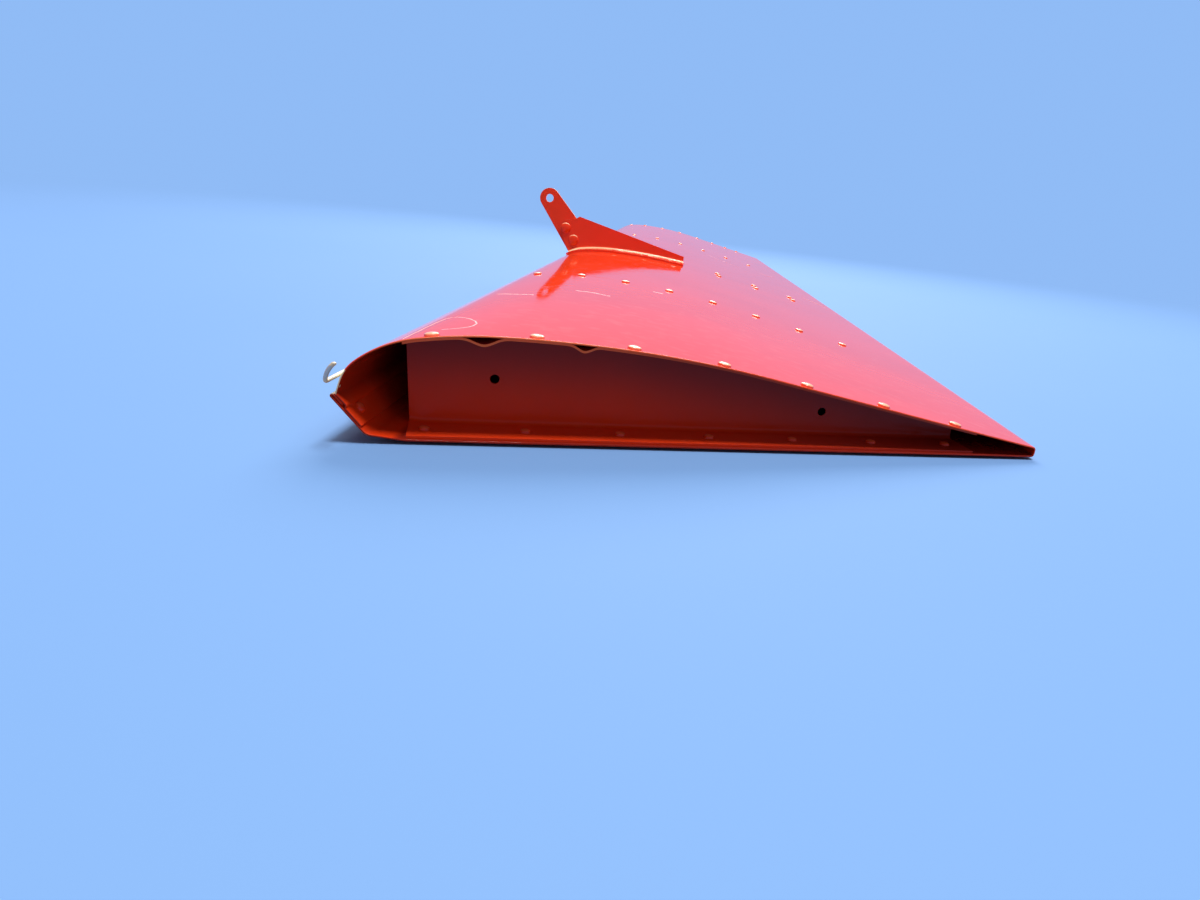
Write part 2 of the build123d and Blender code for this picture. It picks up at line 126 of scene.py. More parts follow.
# The skin sinks a little between these stations, where its ribs hold it.
RIB_STATIONS = [-673 * MM, -443.4 * MM, -190.1 * MM, 197.5 * MM, 668 * MM]
RIB_HOLD = 45 * MM
SINK_FRONT = 6 * MM
SINK_REAR = 238 * MM
SINK_FADE = 30 * MM
MEAN_SINK = 0.05 * MM
UNDERSIDE_Z = -15 * MM
# Slow waves on top of that: their depth, their scale aft and along, and a layer for each side.
WAVE_DEPTH = 0.12 * MM
WAVE_SCALE = (9, 5.5)
UPPER_LAYER = 3.1
LOWER_LAYER = 8.4

# How far each piece's sharp edges are rounded off.
SKIN_ROUNDING = 0.3 * MM
RIB_ROUNDING = 0.2 * MM
BRACKET_ROUNDING = 0.35 * MM
ARM_ROUNDING = 0.5 * MM
LEAF_ROUNDING = 0.12 * MM

# From how many degrees an edge counts as sharp.
SHARP_FROM = 35
RIVET_SHARP_FROM = 50
WIRE_SHARP_FROM = 60

# CAD points this close together become one, and so do faces this close to one plane.
SAME_POINT = 1e-6
SAME_PLANE = math.radians(0.5)


def direction(angle):
    return Vector((math.cos(angle), math.sin(angle)))


def arc_from(start, heading, radius, turn, count):
    """Points after start on an arc that turns clockwise, and the heading at its end."""
    centre = start + direction(heading - math.pi / 2) * radius
    points = []
    for step in range(1, count + 1):
        angle = heading - turn * step / count
        points.append(centre - direction(angle - math.pi / 2) * radius)
    return points, heading - turn


def rounded(corners, radii, count=6):
    """A polyline with each inner corner turned into an arc of its own radius."""
    points = [corners[0]]
    for before, corner, after, radius in zip(corners, corners[1:], corners[2:], radii):
        into, out = (corner - before).normalized(), (after - corner).normalized()
        turn = math.acos(max(-1, min(1, into.dot(out))))
        start = corner - into * radius * math.tan(turn / 2)
        side = 1 if into.x * out.y - into.y * out.x > 0 else -1
        centre = start + Vector((-into.y, into.x)) * side * radius
        spoke = start - centre
        for step in range(count + 1):
            points.append(centre + Matrix.Rotation(side * turn * step / count, 2) @ spoke)
    points.append(corners[-1])
    return points


def stepped(points, longest=7 * MM):
    """The same line with extra points on its long straight stretches."""
    finer = [points[0]]
    for start, end in zip(points, points[1:]):
        count = max(1, math.ceil((end - start).length / longest))
        finer += [start.lerp(end, step / count) for step in range(1, count + 1)]
    return finer


BEVEL_ALONG = direction(-BEVEL_ANGLE)
BEVEL_INWARD = direction(math.pi / 2 - BEVEL_ANGLE)
LAND_ALONG = direction(math.pi / 2 - LAND_LEAN)
LAND_OUTWARD = direction(math.pi - LAND_LEAN)
UNDER_BEVEL = SKIN_GAUGE + FAY_GAP
UNDER_HEM = 2 * HEM_RADIUS + FAY_GAP
LAND_FOOT = LIP + BEVEL_INWARD * UNDER_HEM


def on_bevel(distance, depth=0.0):
    return LIP + BEVEL_ALONG * distance + BEVEL_INWARD * depth


def on_land(distance, height):
    return LAND_FOOT + LAND_ALONG * distance + LAND_OUTWARD * height


def skin_outer_line():
    """Outer face of the folded sheet, from the seam flange round to the hem inside the lip."""
    slope = math.tan(RAMP_ANGLE)
    ramp_top = (RAMP_END_X - LIP.x) * slope - HINGE_HEIGHT
    bevel_width = (LIP.y - ramp_top) / (-BEVEL_ALONG.y - BEVEL_ALONG.x * slope)
    bend_reach = BEVEL_BEND * math.tan((BEVEL_ANGLE - RAMP_ANGLE) / 2)
    seam = [
        on_bevel(bevel_width - bend_reach - SEAM_CLEARANCE, UNDER_BEVEL),
        on_bevel(HEM_WIDTH + 2 * SEAM_JOGGLE, UNDER_BEVEL),
        on_bevel(HEM_WIDTH + SEAM_JOGGLE, UNDER_HEM),
        LAND_FOOT,
        on_land(LAND_HEIGHT, 0),
    ]
    line = rounded(seam, [SEAM_BEND] * 3)
    heading = math.pi / 2 - LAND_LEAN
    for radius, turn in NOSE_ARCS:
        points, heading = arc_from(line[-1], heading, radius, turn, NOSE_STEPS)
        line += points
    points, heading = arc_from(line[-1], heading, REAR_ARC_RADIUS, heading, REAR_ARC_STEPS)
    line += points
    fold_top = Vector((TRAILING_EDGE_X, TRAILING_EDGE_HEIGHT - HINGE_HEIGHT))
    flank_end = fold_top - direction(-FLANK_ANGLE) * TRAILING_EDGE_HEIGHT
    crest = line[-1]
    drop = (fold_top.x - crest.x) * math.tan(FLANK_ANGLE) - (crest.y - fold_top.y)
    crown_radius = drop * math.cos(FLANK_ANGLE) / (1 - math.cos(FLANK_ANGLE))
    points, heading = arc_from(crest, 0, crown_radius, FLANK_ANGLE, CROWN_STEPS)
    line += points
    line += stepped([line[-1], flank_end])[1:]
    floor_start = Vector((flank_end.x, -HINGE_HEIGHT))
    fold_low = Vector((TRAILING_EDGE_X, -HINGE_HEIGHT))
    line += rounded([flank_end, fold_top, fold_low, floor_start], [FOLD_RADIUS] * 2)[1:]
    bottom = [floor_start, Vector((RAMP_END_X, -HINGE_HEIGHT)), on_bevel(bevel_width), LIP]
    line += stepped(rounded(bottom, [RAMP_BEND, BEVEL_BEND]))[1:]
    points, heading = arc_from(LIP, math.pi - BEVEL_ANGLE, HEM_RADIUS, math.pi, HEM_STEPS)
    line += points
    line.append(line[-1] + BEVEL_ALONG * HEM_WIDTH)
    return line


def beside(line, depth, mitre_limit=2):
    """The line that runs to the right of another by depth."""
    moved = []
    for index, point in enumerate(line):
        before = line[max(index - 1, 0)]
        after = line[min(index + 1, len(line) - 1)]
        into = (point - before).normalized() if index else (after - point).normalized()
        out = (after - point).normalized() if index < len(line) - 1 else into
        mean = (into + out).normalized()
        cosine = max(mean.dot(out), 1 / mitre_limit)
        moved.append(point + Vector((mean.y, -mean.x)) * depth / cosine)
    return moved


def near_edge_y(x, inset=0.0):
    along = (x - LIP.x) * math.tan(NEAR_SLANT)
    return -HALF_LENGTH + along + inset / math.cos(NEAR_SLANT)


def far_edge_y(x, inset=0.0):
    along = (x - LIP.x) * math.tan(FAR_SLANT)
    return HALF_LENGTH - along - inset / math.cos(FAR_SLANT)


def oil_can(x, y, z):
    """How far the thin sheet sinks between its ribs and rivets."""
    gap = min(abs(y - station) for station in RIB_STATIONS)
    free = 1 - math.exp(-((gap / RIB_HOLD) ** 2))
    front = max(0, min(1, (x - SINK_FRONT) / SINK_FADE))
    rear = max(0, min(1, (SINK_REAR - x) / SINK_FADE))
    aft, along = WAVE_SCALE
    layer = UPPER_LAYER if z > UNDERSIDE_Z else LOWER_LAYER
    wave = noise.noise(Vector((x * aft, y * along, layer)))
    return (WAVE_DEPTH * wave - MEAN_SINK) * free * front * rear


def make_object(name, vertices, faces, smooth_angle=SHARP_FROM):
    mesh = bpy.data.meshes.new(name)
    mesh.from_pydata([tuple(v) for v in vertices], [], faces)
    mesh.validate()
    piece = bpy.data.objects.new(name, mesh)
    bpy.context.scene.collection.objects.link(piece)
    mesh.shade_smooth()
    mesh.set_sharp_from_angle(angle=math.radians(smooth_angle))
    return piece


def make_skin(stations=150, crowding=0.06):
    """The folded sheet, with its slanted ends and the slight waves of thin metal.

    The stations along the hinge lie closer together near both ends.
    """
    outer = skin_outer_line()
    loop = outer + beside(outer, SKIN_GAUGE)[::-1]
    half, count = len(outer), len(loop)
    vertices = []
    for step in range(stations + 1):
        share = step / stations
        share -= crowding * math.sin(2 * math.pi * share) / math.pi
        for index, point in enumerate(loop):
            guide = outer[min(index, count - 1 - index)]
            y = near_edge_y(point.x) * (1 - share) + far_edge_y(point.x) * share
            sink = oil_can(guide.x, y, guide.y)
            side = 1 if guide.y > UNDERSIDE_Z else -1
            vertices.append(Vector((point.x, y, point.y + side * sink)))
    faces = []
    for row in range(stations):
        low, high = row * count, (row + 1) * count
        for index in range(count):
            after = (index + 1) % count
            faces.append((low + index, low + after, high + after, high + index))
    last = stations * count
    for index in range(half - 1):
        mirror = count - 1 - index
        faces.append((index + 1, index, mirror, mirror - 1))
        faces.append((last + index, last + index + 1, last + mirror - 1, last + mirror))
    piece = make_object("skin_sheet", vertices, faces)
    edge_rounding(piece, SKIN_ROUNDING)
    return piece


def turned(vertices, faces, seat, axis, profile, sides=28):
    """Adds a closed turned form. Its profile is (radius, height) along the axis from the seat."""
    turn = axis.to_track_quat("Z", "Y").to_matrix()
    rings = []
    for radius, height in profile:
        first = len(vertices)
        spots = sides if radius else 1
        for side in range(spots):
            angle = 2 * math.pi * side / sides
            spot = Vector((math.cos(angle) * radius, math.sin(angle) * radius, height))
            vertices.append(seat + turn @ spot)
        rings.append([first + side % spots for side in range(sides)])
    for lower, upper in zip(rings, rings[1:]):
        for side in range(sides):
            after = (side + 1) % sides
            corners = [lower[side], lower[after], upper[after], upper[side]]
            faces.append(tuple(dict.fromkeys(corners)))


# Rivet heads: shares of the radius and of the height, from the middle of the seat to the top.
HEAD_PROFILE = [
    (0, 0), (1.03, 0), (1.0, 0.22), (0.975, 0.38), (0.92, 0.54), (0.83, 0.67), (0.70, 0.79),
    (0.53, 0.89), (0.33, 0.96), (0.14, 0.995), (0, 1.0),
]


def solids_of(node):
    """The separate solids of a CAD node, each as its list of points."""
    work = bmesh.new()
    work.from_mesh(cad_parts[node].data)
    bmesh.ops.remove_doubles(work, verts=work.verts, dist=SAME_POINT)
    left = set(work.verts)
    solids = []
    for vertex in work.verts:
        if vertex not in left:
            continue
        left.discard(vertex)
        heap, found = [vertex], []
        while heap:
            spot = heap.pop()
            found.append(spot.co.copy())
            for edge in spot.link_edges:
                other = edge.other_vert(spot)
                if other in left:
                    left.discard(other)
                    heap.append(other)
        solids.append(found)
    work.free()
    return solids


def seat_of(points, end_share=0.1):
    """Where a head sits: the middle of its seat, its outward direction, radius and height.

    A head is shortest along its axis, and its seat is the wider of its two ends.
    """
    cloud = numpy.array([tuple(p) for p in points])
    middle = cloud.mean(0)
    axes = numpy.linalg.eigh((cloud - middle).T @ (cloud - middle))[1]
    axis, centre = Vector(axes[:, 0]), Vector(middle)
    ends = []
    for side in (1, -1):
        heights = [(p - centre).dot(axis) * side for p in points]
        low, high = min(heights), max(heights)
        reach = low + end_share * (high - low)
        end = [p for p, height in zip(points, heights) if height < reach]
        seat = sum(end, Vector()) / len(end)
        ends.append((max((p - seat).length for p in end), seat, axis * side, high - low))
    radius, seat, outward, height = max(ends, key=lambda end: end[0])
    return seat, outward, radius, height


def make_heads(node):
    """Domed rivet heads and tails in place of a node's plain ones."""
    vertices, faces = [], []
    for points in solids_of(node):
        seat, outward, radius, height = seat_of(points)
        profile = [(share * radius, lift * height) for share, lift in HEAD_PROFILE]
        turned(vertices, faces, seat, outward, profile)
    return make_object(node + "_domed", vertices, faces, RIVET_SHARP_FROM)


def make_arm_rivets():
    """The horn's two rivets: a domed head on the bracket, the shank, and a flat tail."""
    through = BRACKET_GAUGE + FAY_GAP + ARM_GAUGE
    bottom = through + ARM_TAIL_HEIGHT
    profile = [
        (0, -bottom), (ARM_TAIL_FLAT * ARM_TAIL_RADIUS, -bottom),
        (ARM_TAIL_RADIUS, -bottom + ARM_TAIL_CHAMFER * ARM_TAIL_HEIGHT),
        (ARM_TAIL_RADIUS, -through),
        (ARM_SHANK_RADIUS, -through), (ARM_SHANK_RADIUS, 0),
    ]
    head = HEAD_PROFILE[1:]
    profile += [(share * ARM_RIVET_RADIUS, lift * ARM_RIVET_HEIGHT) for share, lift in head]
    vertices, faces = [], []
    for x, z in ARM_RIVETS:
        seat = Vector((x, HORN_Y - BRACKET_GAUGE, z))
        turned(vertices, faces, seat, Vector((0, -1, 0)), profile, sides=36)
    return make_object("arm_rivet_pair", vertices, faces, RIVET_SHARP_FROM)


def edge_rounding(piece, width, segments=2):
    bevel = piece.modifiers.new("edge_rounding", "BEVEL")
    bevel.width = width
    bevel.segments = segments
    bevel.limit_method = "ANGLE"
    bevel.angle_limit = math.radians(SHARP_FROM)
    bevel.harden_normals = True


def softened(node, name, width, segments=2):
    """A copy of a CAD node with its sharp edges rounded off, to stand for it."""
    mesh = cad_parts[node].data.copy()
    mesh.name = name
    piece = bpy.data.objects.new(name, mesh)
    bpy.context.scene.collection.objects.link(piece)
    work = bmesh.new()
    work.from_mesh(mesh)
    bmesh.ops.remove_doubles(work, verts=work.verts, dist=SAME_POINT)
    bmesh.ops.dissolve_limit(work, angle_limit=SAME_PLANE, verts=work.verts, edges=work.edges)
    bmesh.ops.recalc_face_normals(work, faces=work.faces)
    work.to_mesh(mesh)
    work.free()
    mesh.shade_smooth()
    mesh.set_sharp_from_angle(angle=math.radians(SHARP_FROM))
    edge_rounding(piece, width, segments)
    return piece


def prism(vertices, faces, outline, start_y, end_y):
    """Adds a closed bar of an XZ outline between two stations along the hinge."""
    first, count = len(vertices), len(outline)
    for y in (start_y, end_y):
        vertices += [Vector((point.x, y, point.y)) for point in outline]
    for index in range(count):
        after = (index + 1) % count
        low, high = first + index, first + after
        faces.append((low, high, high + count, low + count))
    faces.append(tuple(range(first + count - 1, first - 1, -1)))
    faces.append(tuple(range(first + count, first + 2 * count)))


def land_strip(start, end):
    low, high = FAY_GAP, FAY_GAP + LEAF_GAUGE
    return [on_land(start, low), on_land(start, high), on_land(end, high), on_land(end, low)]


def make_hinge_half(steps=26):
    """Hinge leaf with its rolled knuckles, each left open by a slit where the roll ends."""
    start_y, end_y = near_edge_y(0, LEAF_END_INSET), far_edge_y(0, LEAF_END_INSET)
    vertices, faces = [], []
    prism(vertices, faces, land_strip(LEAF_FOOT, LEAF_FOOT + LEAF_WIDTH), start_y, end_y)
    neck = land_strip(LEAF_FOOT + LEAF_WIDTH / 2, -LAND_FOOT.dot(LAND_ALONG))
    first_angle = -LAND_LEAN
    sweep = 1.5 * math.pi - KNUCKLE_SLIT
    angles = [first_angle + sweep * step / steps for step in range(steps + 1)]
    roll = [direction(angle) * KNUCKLE_RADIUS for angle in angles]
    roll += [direction(angle) * KNUCKLE_BORE for angle in reversed(angles)]
    pitch = 2 * KNUCKLE_LENGTH
    count = int((end_y - start_y + KNUCKLE_LENGTH) / pitch)
    for step in range(count):
        middle = (start_y + end_y) / 2 + (step - (count - 1) / 2) * pitch
        ends = (middle - KNUCKLE_LENGTH / 2, middle + KNUCKLE_LENGTH / 2)
        prism(vertices, faces, neck, *ends)
        prism(vertices, faces, roll, *ends)
    piece = make_object("hinge_leaf_and_knuckles", vertices, faces)
    work = bmesh.new()
    work.from_mesh(piece.data)
    bmesh.ops.recalc_face_normals(work, faces=work.faces)
    work.to_mesh(piece.data)
    work.free()
    edge_rounding(piece, LEAF_ROUNDING)
    return piece


def on_arc(start, heading, across, radius, angle):
    """A point of an arc that turns from heading to across, and the heading there."""
    spot = start + (heading * math.sin(angle) + across * (1 - math.cos(angle))) * radius
    return spot, heading * math.cos(angle) + across * math.sin(angle)


def make_wire(sides=18, bend_steps=12, leg_steps=9):
    """Hinge wire: straight along the hinge axis, its near end bent up, both ends rounded off.

    The hook is a quarter bend and a slightly curved leg.
    """
    into, out = Vector((0, -1, 0)), HOOK_REACH.normalized()
    corner = Vector((0, near_edge_y(0) - WIRE_OVERHANG, 0))
    aside = Vector((-out.z, 0, out.x))
    upwards = out * math.cos(HOOK_LEAN) + aside * math.sin(HOOK_LEAN)
    bend_start = corner - into * HOOK_BEND
    bend = []
    for step in range(bend_steps + 1):
        angle = math.pi / 2 * step / bend_steps
        spot, along = on_arc(bend_start, into, upwards, HOOK_BEND, angle)
        bend.append((spot, along, WIRE_RADIUS))
    leg_start = corner + upwards * HOOK_BEND
    leg = corner + HOOK_REACH - leg_start
    across = (leg - upwards * leg.dot(upwards)).normalized()
    leg_turn = 2 * leg.angle(upwards)
    leg_radius = leg.length / (2 * math.sin(leg_turn / 2))
    for step in range(1, leg_steps):
        angle = leg_turn * step / leg_steps
        spot, along = on_arc(leg_start, upwards, across, leg_radius, angle)
        bend.append((spot, along, WIRE_RADIUS))
    tip, tip_along = on_arc(leg_start, upwards, across, leg_radius, leg_turn)
    far_end = Vector((0, far_edge_y(0), 0))
    start, end = [], []
    for angle in WIRE_TIP_ANGLES:
        lean = math.radians(angle)
        depth, radius = WIRE_RADIUS * (1 - math.cos(lean)), WIRE_RADIUS * math.sin(lean)
        start.append((far_end + into * depth, into, radius))
        end.append((tip - tip_along * depth, tip_along, radius))
    sections = start + bend + end[::-1]
    side = out.cross(into).normalized()
    vertices, faces = [], []
    for middle, along, radius in sections:
        up = side.cross(along)
        for step in range(sides):
            angle = 2 * math.pi * step / sides
            vertices.append(middle + (side * math.cos(angle) + up * math.sin(angle)) * radius)
    for ring in range(len(sections) - 1):
        for step in range(sides):
            after = (step + 1) % sides
            low, high = ring * sides, (ring + 1) * sides
            faces.append((low + step, low + after, high + after, high + step))
    faces.append(tuple(range(sides - 1, -1, -1)))
    last = (len(sections) - 1) * sides
    faces.append(tuple(last + step for step in range(sides)))
    return make_object("hinge_wire", vertices, faces, WIRE_SHARP_FROM)


def add(tree, kind, inputs=None, **settings):
    """A node with its settings, each input given as a value or as the socket that feeds it."""
    node = tree.nodes.new(kind)
    for key, value in settings.items():
        setattr(node, key, value)
    for key, value in (inputs or {}).items():
        socket = node.inputs[key]
        if isinstance(value, bpy.types.NodeSocket):
            tree.links.new(value, socket)
        else:
            socket.default_value = value
    return node


def maths(tree, operation, first, second=0.0, third=None, clamp=False):
    inputs = {0: first, 1: second}
    if third is not None:
        inputs[2] = third
    return add(tree, "ShaderNodeMath", inputs, operation=operation, use_clamp=clamp).outputs[0]


def vector(tree, operation, first, second=None, output=0):
    inputs = {0: first}
    if second is not None:
        inputs["Scale" if operation == "SCALE" else 1] = second
    return add(tree, "ShaderNodeVectorMath", inputs, operation=operation).outputs[output]


def times(tree, *factors):
    product = factors[0]
    for factor in factors[1:]:
        product = maths(tree, "MULTIPLY", product, factor)
    return product


def highest(tree, *masks):
    top = masks[0]
    for mask in masks[1:]:
        top = maths(tree, "MAXIMUM", top, mask)
    return top


def mix_colour(tree, factor, first, second):
    inputs = {0: factor, 6: first, 7: second}
    return add(tree, "ShaderNodeMix", inputs, data_type="RGBA").outputs[2]


def ramp(tree, factor, low, high):
    """0 at low, 1 at high, smooth between."""
    inputs = {"Value": factor, "From Min": low, "From Max": high}
    settings = {"interpolation_type": "SMOOTHSTEP"}
    return add(tree, "ShaderNodeMapRange", inputs, **settings).outputs[0]


def grain(tree, place, scale, detail=3.0):
    inputs = {"Vector": place, "Scale": scale, "Detail": detail}
    return add(tree, "ShaderNodeTexNoise", inputs).outputs[0]


def object_place(tree):
    return add(tree, "ShaderNodeTexCoord").outputs["Object"]


def parts_of(tree, vector_socket):
    """The X, Y and Z sockets of a vector."""
    return add(tree, "ShaderNodeSeparateXYZ", {0: vector_socket}).outputs


def surface_normal(tree):
    return add(tree, "ShaderNodeNewGeometry").outputs["Normal"]


def new_material(name):
    material = bpy.data.materials.new(name)
    material.use_nodes = True
    tree = material.node_tree
    tree.nodes.clear()
    shader = tree.nodes.new("ShaderNodeBsdfPrincipled")
    add(tree, "ShaderNodeOutputMaterial", {"Surface": shader.outputs[0]})
    return material, tree, shader


def shader_group(name, inputs, outputs):
    group = bpy.data.node_groups.new(name, "ShaderNodeTree")
    for socket, kind, value in inputs:
        made = group.interface.new_socket(socket, in_out="INPUT", socket_type=kind)
        if value is not None:
            made.default_value = value
    for socket, kind in outputs:
        group.interface.new_socket(socket, in_out="OUTPUT", socket_type=kind)
    return group, group.nodes.new("NodeGroupInput"), group.nodes.new("NodeGroupOutput")


# Finishes, painted shade and painted highlights, as linear colours.
PAINT = (0.88, 0.052, 0.008, 1)
OLD_PAINT = (0.56, 0.028, 0.008, 1)
# A painted highlight along the upper sheet's cut edges.
EDGE_HIGHLIGHT_PAINT = (1.0, 0.22, 0.09, 1)
# Pale crowns and bends: partly wear, partly a painted highlight.
WEAR_AND_HIGHLIGHT_PAINT = (1.0, 0.68, 0.40, 1)
SHADED_PAINT = (0.14, 0.010, 0.010, 1)
DUST = (0.80, 0.52, 0.45, 1)
# Painted shade where the ribs run under the upper skin's overhang.
OVERHANG_SHADE = (0.08, 0.016, 0.030, 1)
SCUFF = (0.30, 0.20, 0.22, 1)
BARE_METAL = (0.80, 0.76, 0.74, 1)
PRIMER = (0.88, 0.80, 0.60, 1)
PRIMER_GRIME = (0.42, 0.30, 0.17, 1)
RUBBED_METAL = (0.70, 0.70, 0.68, 1)
WIRE_METAL = (0.62, 0.58, 0.52, 1)
WIRE_PRIMER = (0.86, 0.76, 0.58, 1)

# How much of each finish, painted shade and painted highlight shows, and how much it adds to the
# roughness.
AGED_SHARE = 0.22
SCUFF_SHARE = 0.6
SCRATCH_SHARE = 0.8
REAR_EDGE_HIGHLIGHT_SHARE = 0.25
FLOOR_MOTTLE_SHARE = 0.12
INNER_NOSE_SHARE = 0.5
LOW_EDGE_SHARE = 0.8
NEAR_CUT_SHARE = 0.6
HAZE_ROUGHNESS = 0.04
DUST_ROUGHNESS = 0.5
WORN_ROUGHNESS = 0.45
PEEL_HEIGHT = 0.6

# Limits of the paint film's masks. A pair is where a mask is 0 and where it is 1.
AGED_GRAIN = (0.35, 0.75)
DUST_GRAIN = (0.45, 0.75)
HAZE_GRAIN = (0.4, 0.75)
DUST_FACING = (0.1, 0.9)
WEAR_AND_HIGHLIGHT_FACING = (0.45, 0.80)
FLAT_FACING = (0.945, 0.975)
OVERHANG_SHADE_RISE = (-16 * MM, 12 * MM)
OVERHANG_SHADE_SLOPE_START = 80 * MM
OVERHANG_SHADE_SLOPE = 0.14
EDGE_DEPTH = 2.6 * MM
EDGE_FADE = 0.4 * MM
EDGE_FACING = (0.3, 0.8)
EDGE_BEHIND_NOSE = (4 * MM, 22 * MM)
EDGE_ABOVE_FLOOR = (-18.4 * MM, -17.4 * MM)
EDGE_FRONT = (130 * MM, 60 * MM)

# The same for the skin's own masks.
INNER_NOSE_FACING = (0.25, 0.6)
INNER_NOSE_HEIGHT = (-9 * MM, -5 * MM)
INNER_NOSE_FRONT = (40 * MM, 30 * MM)
LOW_EDGE_FACING = (-0.6, -0.2)
LOW_EDGE_HEIGHT = (-18.4 * MM, -18.9 * MM)
NEAR_CUT_FACING = (-0.4, -0.8)
NEAR_CUT_HEIGHT = (-5 * MM, -6 * MM)
NEAR_CUT_FRONT = (60 * MM, 20 * MM)
STRIP_FACING = (0.6, 0.5)
STRIP_FRONT = (3.2 * MM, 2.9 * MM)
STRIP_TOP = (2.6 * MM, 2.3 * MM)
STRIP_FOOT = (-5.5 * MM, -5.0 * MM)
MARK_GAPS = (0.30, 0.46)

# Over how much the strip's borders wander aft and in height, and the marks sideways.
STRIP_WANDER_AFT = 1.2 * MM
STRIP_WANDER_UP = 1.6 * MM
MARK_WANDER = 1.2 * MM


def cut_edge_highlight_mask(tree, place, normal):
    """A mask for the painted highlight on the upper sheet edges that face out of the slanted ends.
    """
    x, _, z = parts_of(tree, place)
    mask = 0.0
    for side, slant in ((-1, NEAR_SLANT), (1, FAR_SLANT)):
        outwards = (math.sin(slant), side * math.cos(slant), 0.0)
        middle = (LIP.x, side * HALF_LENGTH, 0.0)
        off_end = vector(tree, "SUBTRACT", place, middle)
        depth = vector(tree, "DOT_PRODUCT", off_end, outwards, "Value")
        facing = vector(tree, "DOT_PRODUCT", normal, outwards, "Value")
        shallow = ramp(tree, depth, -EDGE_DEPTH, -EDGE_DEPTH + EDGE_FADE)
        mask = highest(tree, times(tree, shallow, ramp(tree, facing, *EDGE_FACING)), mask)
    behind_nose = ramp(tree, x, *EDGE_BEHIND_NOSE)
    above_floor = ramp(tree, z, *EDGE_ABOVE_FLOOR)
    return times(tree, mask, behind_nose, above_floor)


def worn_and_highlit_tops(tree, facing_up, wear_and_highlight, flats_kept):
    """A mask on rivet crowns and bends that face up, for pale wear and a painted highlight. With
    flats_kept, level faces stay out.
    """
    level = times(tree, ramp(tree, facing_up, *FLAT_FACING), flats_kept)
    kept = maths(tree, "SUBTRACT", 1.0, level)
    return times(tree, ramp(tree, facing_up, *WEAR_AND_HIGHLIGHT_FACING), wear_and_highlight, kept)


def overhang_shade_mask(tree, place, amount):
    """A mask of painted shade that grows towards the underside of the upper skin, which slopes
    down aft.
    """
    x, _, z = parts_of(tree, place)
    aft = highest(tree, maths(tree, "SUBTRACT", x, OVERHANG_SHADE_SLOPE_START), 0.0)
    risen = maths(tree, "MULTIPLY_ADD", aft, OVERHANG_SHADE_SLOPE, z)
    return times(tree, ramp(tree, risen, *OVERHANG_SHADE_RISE), amount)


def paint_film_group():
    """Sprayed enamel, as its colour, its roughness and the height of its orange peel.

    The colour drifts a little, takes dust where it faces up, and is painted pale on crowns and
    bends, partly as wear and partly as a painted highlight. It takes painted shade under the upper
    skin and a painted highlight along cut edges. The gloss is hazy in patches.
    """
    inputs = [
        ("Paint", "NodeSocketColor", PAINT),
        ("Dust", "NodeSocketFloat", 0.1),
        ("Gloss", "NodeSocketFloat", 0.1),
        ("Wear and highlight", "NodeSocketFloat", 0.0),
        ("Flats kept", "NodeSocketFloat", 0.0),
        ("Overhang shade", "NodeSocketFloat", 0.0),
    ]
    outputs = [
        ("Color", "NodeSocketColor"),
        ("Roughness", "NodeSocketFloat"),
        ("Height", "NodeSocketFloat"),
    ]
    group, entry, result = shader_group("paint_film", inputs, outputs)
    given = entry.outputs
    place, normal = object_place(group), surface_normal(group)
    x, facing_up = parts_of(group, place)[0], parts_of(group, normal)[2]
    drift = grain(group, place, scale=14.0)
    fine = grain(group, place, scale=160.0, detail=5.0)
    peel = grain(group, place, scale=420.0, detail=1.0)
    aged = times(group, ramp(group, drift, *AGED_GRAIN), AGED_SHARE)
    settled = times(group, ramp(group, facing_up, *DUST_FACING), ramp(group, fine, *DUST_GRAIN))
    dust = times(group, settled, given["Dust"])
    # Pale crowns and bends: wear, and a painted highlight.
    worn = worn_and_highlit_tops(group, facing_up, given["Wear and highlight"], given["Flats kept"])
    # Painted shade on the ribs under the upper skin.
    overhang_shade = overhang_shade_mask(group, place, given["Overhang shade"])
    # A painted highlight along cut edges, weaker aft.
    front = ramp(group, x, *EDGE_FRONT)
    edge_highlight = maths(group, "MULTIPLY_ADD", front, 1 - REAR_EDGE_HIGHLIGHT_SHARE, REAR_EDGE_HIGHLIGHT_SHARE)
    edge_highlight = times(group, edge_highlight, cut_edge_highlight_mask(group, place, normal))
    colour = given["Paint"]
    for mask, finish in (
        (aged, OLD_PAINT), (dust, DUST), (worn, WEAR_AND_HIGHLIGHT_PAINT), (overhang_shade, OVERHANG_SHADE), (edge_highlight, EDGE_HIGHLIGHT_PAINT),
    ):
        colour = mix_colour(group, mask, colour, finish)
    hazy = ramp(group, fine, *HAZE_GRAIN)
    rough = maths(group, "MULTIPLY_ADD", hazy, HAZE_ROUGHNESS, given["Gloss"])
    rough = maths(group, "MULTIPLY_ADD", dust, DUST_ROUGHNESS, rough, clamp=True)
    group.links.new(colour, result.inputs["Color"])
    group.links.new(rough, result.inputs["Roughness"])
    group.links.new(times(group, peel, PEEL_HEIGHT), result.inputs["Height"])
    return group


